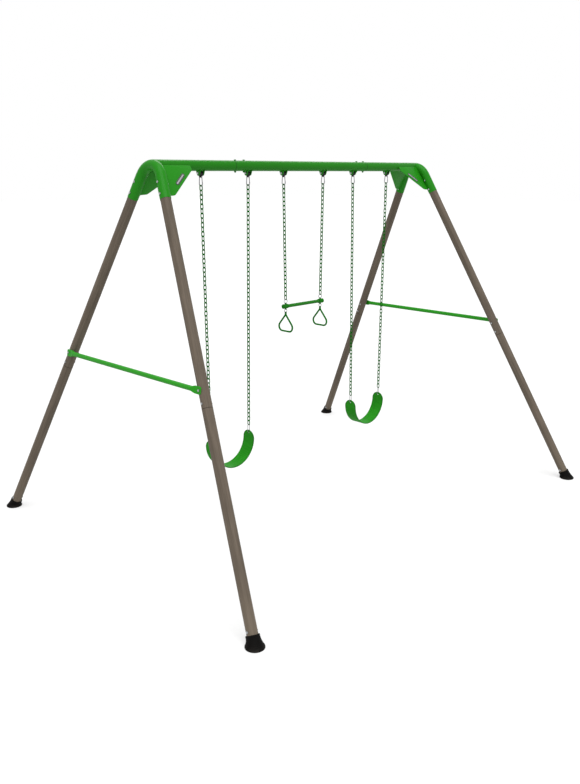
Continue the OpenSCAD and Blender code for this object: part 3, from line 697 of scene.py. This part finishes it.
def detailed_bolts(node, material):
    """Builds each bolt of a node again, with its nut, from the place of its CAD solid."""
    form = bmesh.new()
    for solid in islands(nodes[node].data):
        middle, (along, *_), size = axes_of(solid)
        if size[0] < LONGEST_NUT:
            continue  # a nut, which is built with its bolt
        from_axis = np.linalg.norm(np.cross(solid - middle, along), axis=1)
        in_head = from_axis > BOLT_R * 1.3
        ends = (solid - np.array(middle)) @ np.array(along)
        along = along if ends[in_head].mean() > 0 else -along
        corner = Vector(solid[from_axis.argmax()]) - middle
        corner_way = (corner - along * corner.dot(along)).normalized()
        flat_way = Matrix.Rotation(pi / 6, 3, along) @ corner_way
        head = middle + along * (size[0] / 2 - HEAD_H)
        tail = middle - along * size[0] / 2
        hex_block(form, head, along, flat_way, HEAD_H)
        hex_block(form, tail + along * TAIL, along, flat_way, NUT_H)
        threaded_shank(form, head - along * SUNK, -along, flat_way, size[0] - HEAD_H - SUNK)
    stand_in(node, mesh_of(form, node, sharp_from=28), material)


bolt_zinc = zinc("bolt_zinc", (140, 142, 144), (184, 186, 188), rough_from=0.2)
for node in ("leg_bolts", "brace_bolts", "pivot_bolts"):
    detailed_bolts(node, bolt_zinc)
detailed_bolts("beam_bolts", beam_green_painted_shade)


# ---- Hangers ----
# Each hanger is a pair of V-shaped plates welded under the beam, with a black nylon bearing that
# swings on the pivot bolt between them.

def black_nylon():
    material, tree = new_material("black_nylon")
    place = place_in_frame(tree)
    grain = grains(tree, place, scale=700.0, detail=2.0)
    cloud = grains(tree, place, scale=60.0, detail=2.0)
    return finish(material, tree, base_color=mixed(tree, cloud, srgb(8, 9, 8), srgb(22, 24, 22)),
                  roughness=grain * 0.1 + 0.34, specular_ior_level=0.2,
                  normal=bumped(tree, grain, depth=0.00003))


BRACKET_ROUNDING = 0.0005
BEARING_ROUNDING = 0.0009
bearing_black = black_nylon()
for swing in ("left", "middle", "right"):
    softened(f"hanger_brackets_{swing}", BRACKET_ROUNDING, frame_green)
    softened(f"bearings_{swing}", BEARING_ROUNDING, bearing_black)


# ---- Snap hooks and plated links ----
# Bright zinc-plated wire: the snap hooks under the bearings with their sprung gates, the long links
# at the belt seats, and the rings above and below the trapeze bar.

wire_zinc = zinc("wire_zinc", (112, 112, 114), (160, 160, 162), rough_from=0.22)
PLATED = ([f"snap_hooks_{swing}" for swing in ("left", "middle", "right")]
          + [f"seat_links_{side}" for side in ("left", "right")]
          + ["trapeze_rings", "handle_ring_left", "handle_ring_right"]
          + [node for node in nodes if node.startswith("gate_")])
for node in PLATED:
    dress(node, wire_zinc)


# ---- Chains ----
# Welded steel links dipped in dark green plastic. The top one hangs in the snap hook, and the last
# one holds the plated link of a belt seat or the ring of the trapeze bar.

def dipped_plastic():
    material, tree = new_material("dipped_plastic")
    place = place_in_frame(tree)
    ripple = grains(tree, place, scale=180.0, detail=2.0)
    cloud = grains(tree, place, scale=30.0, detail=2.0)
    colour = mixed(tree, cloud * 0.6 + ripple * 0.4, srgb(4, 94, 8), srgb(14, 120, 20))
    return finish(material, tree, base_color=colour, roughness=ripple * 0.12 + 0.4,
                  specular_ior_level=0.04, normal=bumped(tree, ripple, depth=0.0002))


chain_coat = dipped_plastic()
for node in nodes:
    if node.startswith("chain_"):
        dress(node, chain_coat)


# ---- Belt seats ----
# One strap of flexible moulded rubber: fine ribs run along it inside a thicker edge, its ends are
# round, and each end has a raised eye for the link.

BELT_BEND_R = 0.1715
BELT_HALF_T = 0.0035
BELT_HALF_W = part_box("belt_seat_left")[1].y
BELT_END = 0.046
BELT_LENGTH = BELT_BEND_R * pi / 2 + BELT_END
ROUND_FROM = BELT_LENGTH - BELT_HALF_W
EDGE = 0.0075
EDGE_SLOPE = 0.001
EDGE_ROUND = 0.003
RIB_PITCH = 0.0115
RIB_H = 0.0011
RIB_BASE = 0.0015
RIB_POINTS = 8
STRAIGHT_STEPS = 46
ROUND_STEPS = 26
HOLE_R = 0.006
TIP_TO_HOLE = 0.020
EYE_R = 0.0125
EYE_SLOPE = 0.003


def belt_line(s):
    """Where the belt's middle line is after a length s from its bottom, and its slope there."""
    turn = min(s / BELT_BEND_R, pi / 2)
    past = max(s - BELT_BEND_R * pi / 2, 0)
    return BELT_BEND_R * sin(turn), BELT_BEND_R * (1 - cos(turn)) + past, turn


def step_up(value, low, high):
    t = min(max((value - low) / (high - low), 0), 1)
    return t * t * (3 - 2 * t)


def half_thickness(s, y):
    """Half the belt's thickness at a length s from its bottom and a width y from its middle."""
    inside = BELT_HALF_W - hypot(y, max(s - ROUND_FROM, 0))
    rib = RIB_H * (0.5 + 0.5 * cos(2 * pi * y / RIB_PITCH)) ** 0.6
    eye = 1 - step_up(hypot(y, s - (BELT_LENGTH - TIP_TO_HOLE)), EYE_R, EYE_R + EYE_SLOPE)
    border = 1 - step_up(inside, EDGE - EDGE_SLOPE, EDGE + EDGE_SLOPE)
    thick = BELT_HALF_T - (RIB_BASE - rib) * (1 - max(border, eye))
    if inside < EDGE_ROUND:
        thick *= sqrt(max(1 - (1 - max(inside, 0) / EDGE_ROUND) ** 2, 0))
    return thick


def belt_grid():
    """Rows across the belt, from one tip to the other: x, y, z, slope and half thickness."""
    along = [ROUND_FROM * k / STRAIGHT_STEPS for k in range(STRAIGHT_STEPS + 1)]
    along += [ROUND_FROM + BELT_HALF_W * sin(pi / 2 * k / ROUND_STEPS)
              for k in range(1, ROUND_STEPS + 1)]
    along = [-s for s in along[:0:-1]] + along
    edges = [0.0, 0.0003, 0.0008, 0.0016, EDGE_ROUND, EDGE - EDGE_SLOPE, EDGE, EDGE + EDGE_SLOPE]
    inner = BELT_HALF_W - edges[-1]
    count = int(2 * inner / RIB_PITCH * RIB_POINTS)
    across = [-BELT_HALF_W + e for e in edges]
    across += [-inner + 2 * inner * k / count for k in range(1, count)]
    across += [BELT_HALF_W - e for e in edges[::-1]]
    rows = []
    for s in along:
        past = max(abs(s) - ROUND_FROM, 0)
        reach = sqrt(max(BELT_HALF_W ** 2 - past ** 2, 0)) / BELT_HALF_W
        way = 1 if s >= 0 else -1
        x, z, turn = belt_line(abs(s))
        rows.append([(x * way, y * reach, z, turn * way, half_thickness(abs(s), y * reach))
                     for y in across])
    return rows


def ribbed_belt(side, material):
    """Two skins over the grid, joined at their edges, with a hole drilled through each end."""
    node = f"belt_seat_{side}"
    low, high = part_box(node)
    middle_x = (low.x + high.x) / 2
    bottom_z = low.z + BELT_HALF_T
    form = bmesh.new()
    for face in (1, -1):
        skin = [[form.verts.new((middle_x + x + face * thick * sin(turn), y,
                                 bottom_z + z - face * thick * cos(turn)))
                 for x, y, z, turn, thick in row] for row in belt_grid()]
        for a, b in zip(skin, skin[1:]):
            for k in range(len(a) - 1):
                form.faces.new((a[k], a[k + 1], b[k + 1], b[k])[::face])
    bmesh.ops.remove_doubles(form, verts=form.verts, dist=2e-5)
    piece = stand_in(node, mesh_of(form, node, sharp_from=50), material)
    through = Matrix.Translation((middle_x, 0, high.z - TIP_TO_HOLE))
    through @= Matrix.Rotation(pi / 2, 4, "Y")
    drill = bmesh.new()
    bmesh.ops.create_cone(drill, cap_ends=True, segments=40, radius1=HOLE_R, radius2=HOLE_R,
                          depth=1.0, matrix=through)
    drill_mesh = bpy.data.meshes.new("drill")
    drill.to_mesh(drill_mesh)
    drill.free()
    drill_piece = bpy.data.objects.new("drill", drill_mesh)
    bpy.context.scene.collection.objects.link(drill_piece)
    cut = piece.modifiers.new("holes", "BOOLEAN")
    cut.operation = "DIFFERENCE"
    cut.object = drill_piece
    smooth(finished_mesh(piece), sharp_from=50)
    bpy.data.objects.remove(drill_piece)


def belt_rubber(round_above):
    """Rubber with painted shade in the grooves and along the edge; the ends are round above that
    height.
    """
    material, tree = new_material("belt_rubber")
    place = place_in_frame(tree)
    cloud = grains(tree, place, scale=12.0, detail=3.0)
    mottle = grains(tree, place, scale=90.0, detail=3.0)
    fine = grains(tree, place, scale=900.0, detail=2.0)
    colour = mixed(tree, cloud, srgb(34, 152, 22), srgb(58, 180, 42))
    worn = mixed(tree, between(tree, mottle, 0.5, 0.75) * 0.15, colour, srgb(84, 160, 66))
    across = make_node(tree, "ShaderNodeSeparateXYZ", {}, {0: place}, "Y")
    above = make_node(tree, "ShaderNodeMath", {"operation": "MAXIMUM"},
                      {0: ground_height(tree, place) - round_above, 1: 0.0})
    from_middle = make_node(tree, "ShaderNodeCombineXYZ", {}, {0: across, 1: above})
    from_middle = make_node(tree, "ShaderNodeVectorMath", {"operation": "LENGTH"}, {0: from_middle},
                            "Value")
    border = between(tree, from_middle, BELT_HALF_W - EDGE - EDGE_SLOPE,
                     BELT_HALF_W - EDGE + 2 * EDGE_SLOPE)
    rib = make_node(tree, "ShaderNodeMath", {"operation": "COSINE"},
                    {0: across * (2 * pi / RIB_PITCH)})
    # Painted shade: darker in the grooves between the ribs and along the thick edge.
    groove = (1 - between(tree, rib, -0.7, 0.6)) * (1 - border)
    shaded = mixed(tree, groove * 0.7 + border * 0.6, worn, srgb(8, 70, 6))
    return finish(material, tree, base_color=shaded, roughness=mottle * 0.2 + 0.4,
                  specular_ior_level=0.06, normal=bumped(tree, fine, depth=0.00006))


seat_rubber = belt_rubber(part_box("belt_seat_left")[1].z - BELT_HALF_W)
for side in ("left", "right"):
    ribbed_belt(side, seat_rubber)


# ---- Trapeze bar ----
# A green coated steel tube with a moulded plastic sleeve closed over each end. Each sleeve has an
# eye above for its chain and an eye below for a hand ring.

def moulded_plastic(name, low, high):
    material, tree = new_material(name)
    place = place_in_frame(tree)
    flow = grains(tree, place, scale=25.0, detail=3.0)
    fine = grains(tree, place, scale=600.0, detail=2.0)
    return finish(material, tree, base_color=mixed(tree, flow, srgb(*low), srgb(*high)),
                  roughness=flow * 0.1 + fine * 0.08 + 0.32, specular_ior_level=0.05,
                  normal=bumped(tree, fine, depth=0.00004))


def melted(node, grain, material):
    """Stands for a moulded CAD node, whose shapes run into each other as one skin."""
    mesh = nodes[node].data.copy()
    piece = stand_in(node, mesh, material)
    skin = piece.modifiers.new("skin", "REMESH")
    skin.mode = "VOXEL"
    skin.voxel_size = grain
    soften = piece.modifiers.new("corners", "SMOOTH")
    soften.factor = 0.5
    soften.iterations = 4
    finished_mesh(piece).shade_smooth()


bar_green = green_paint("bar_green", (34, 130, 24), (26, 112, 18), rough_from=0.26)
dress("trapeze_bar", bar_green)
fitting_green = moulded_plastic("fitting_green", (20, 108, 16), (30, 128, 24))
melted("bar_fittings", 0.0008, fitting_green)


# ---- Hand rings ----
# Rounded triangular grips moulded in one piece from a darker green plastic. Each narrows to a neck
# with an eye at the top, by which it hangs on its ring.

grip_green = moulded_plastic("grip_green", (18, 100, 20), (34, 128, 36))
for side in ("left", "right"):
    melted(f"handle_{side}", 0.0009, grip_green)


# ---- Floor and light ----
# A plain white studio. The floor and the surroundings show white to the camera and in
# reflections. The surroundings light the object at half of that, and the floor keeps its shadow.

FLOOR_HALF = 60.0
FLOOR_GREY = (0.6, 0.6, 0.6, 1)
FLOOR_LIFT = 0.42
SKY_LIGHT = 0.5


def seen_directly(tree):
    """1 for what the camera sees, straight or in a reflection or through glass, and 0 for light."""
    rays = [make_node(tree, "ShaderNodeLightPath", {}, {}, f"Is {kind} Ray")
            for kind in ("Camera", "Glossy", "Transmission")]
    either = make_node(tree, "ShaderNodeMath", {"operation": "MAXIMUM"}, {0: rays[0], 1: rays[1]})
    return make_node(tree, "ShaderNodeMath", {"operation": "MAXIMUM"}, {0: either, 1: rays[2]})


floor_mesh = bpy.data.meshes.new("floor")
corners = [(x * FLOOR_HALF, y * FLOOR_HALF, 0) for x, y in ((-1, -1), (1, -1), (1, 1), (-1, 1))]
floor_mesh.from_pydata(corners, [], [(0, 1, 2, 3)])
floor = bpy.data.objects.new("floor", floor_mesh)
bpy.context.scene.collection.objects.link(floor)
floor_white, floor_tree = new_material("floor_white")
lift = mixed(floor_tree, seen_directly(floor_tree), (0.0, 0.0, 0.0), (FLOOR_LIFT,) * 3)
finish(floor_white, floor_tree, base_color=FLOOR_GREY, roughness=0.9, specular_ior_level=0.0,
       emission_color=lift, emission_strength=1.0)
floor_mesh.materials.append(floor_white)

world = bpy.data.worlds.new("studio")
bpy.context.scene.world = world
world.use_nodes = True
sky = world.node_tree
sky.nodes.remove(sky.nodes["Background"])
strength = seen_directly(sky) * (1 - SKY_LIGHT) + SKY_LIGHT
background = make_node(sky, "ShaderNodeBackground", {},
                       {"Color": (1, 1, 1, 1), "Strength": strength})
sky.links.new(background.output, sky.nodes["World Output"].inputs["Surface"])


def lamp(name, energy, towards, spread):
    data = bpy.data.lights.new(name, "SUN")
    data.energy = energy
    data.angle = radians(spread)
    light = bpy.data.objects.new(name, data)
    light.rotation_euler = Vector(towards).to_track_quat("-Z", "Y").to_euler()
    bpy.context.scene.collection.objects.link(light)


lamp("key", energy=2.0, towards=(0.3, 0.5, -1.25), spread=60)
lamp("rim", energy=0.45, towards=(-0.7, -0.54, -0.6), spread=30)

bpy.context.scene.view_settings.view_transform = "Standard"


# ---- What the photograph's points show ----
# Each point is set against what shows of its piece, and each edge against the finished vertices
# that show. The numbers are for the maker and stop nothing.

def in_picture(point):
    local = camera.matrix_world.inverted() @ point
    reach = LENS / SENSOR * max(WIDTH, HEIGHT) / -local.z
    return WIDTH / 2 + local.x * reach, HEIGHT / 2 - local.y * reach


SEEN_WITHIN = 0.004
bpy.context.view_layer.update()
depsgraph = bpy.context.evaluated_depsgraph_get()


def showing(name):
    """Where those vertices of a piece that the camera sees lie in the picture, or else all."""
    piece = nodes.get(name) or bpy.data.objects[name]
    points = [piece.matrix_world @ vertex.co for vertex in piece.data.vertices]
    found = []
    for point in points:
        away = point - CAMERA_AT
        hit, place, *_ = bpy.context.scene.ray_cast(depsgraph, CAMERA_AT, away.normalized())
        if not hit or (place - CAMERA_AT).length > away.length - SEEN_WITHIN:
            found.append(in_picture(point))
    return found or [in_picture(point) for point in points]


def furthest(found, across, down):
    """The point that lies furthest in one direction of the picture."""
    return max(found, key=lambda point: point[0] * across + point[1] * down)


def middle_of(found):
    xs, ys = [x for x, y in found], [y for x, y in found]
    return (min(xs) + max(xs)) / 2, (min(ys) + max(ys)) / 2


def half_of(found, side):
    """The points on the left (-1) or the right (1) of their middle."""
    middle = middle_of(found)[0]
    return [point for point in found if (point[0] - middle) * side > 0]


everything = []
for piece in bpy.context.scene.objects:
    if piece.type == "MESH" and piece is not floor and not piece.hide_render:
        everything += [in_picture(piece.matrix_world @ vertex.co) for vertex in piece.data.vertices]
hooks_left, hooks_right = showing("snap_hooks_left"), showing("snap_hooks_right")
seat_left, seat_right = showing("belt_seat_left_finished"), showing("belt_seat_right_finished")
fittings = showing("bar_fittings_finished")
found_at = {
    "left edge": furthest(everything, -1, 0),
    "right edge": furthest(everything, 1, 0),
    "top edge": furthest(everything, 0, -1),
    "bottom edge": furthest(everything, 0, 1),
    "left outer snap hook": middle_of(half_of(hooks_left, -1)),
    "right outer snap hook": middle_of(half_of(hooks_right, 1)),
    "left seat, right tip": furthest(seat_left, 0, -1),
    "right seat, left tip": furthest(half_of(seat_right, -1), 0, -1),
    "right seat, right tip": furthest(half_of(seat_right, 1), 0, -1),
    "right seat, bottom": furthest(seat_right, 0, 1),
    "trapeze bar, left end": furthest(fittings, -1, 0),
    "trapeze bar, right end": furthest(fittings, 1, 0),
    "left hand ring, bottom": furthest(showing("handle_left_finished"), 0, 1),
    "right hand ring, bottom": furthest(showing("handle_right_finished"), 0, 1),
    "left brace, right end": furthest(showing("cross_brace_left_finished"), 1, 0),
}
off = {name: [None if want is None else round(have - want, 2)
              for have, want in zip(found_at[name], wanted)]
       for name, wanted in PHOTO_POINTS.items()}
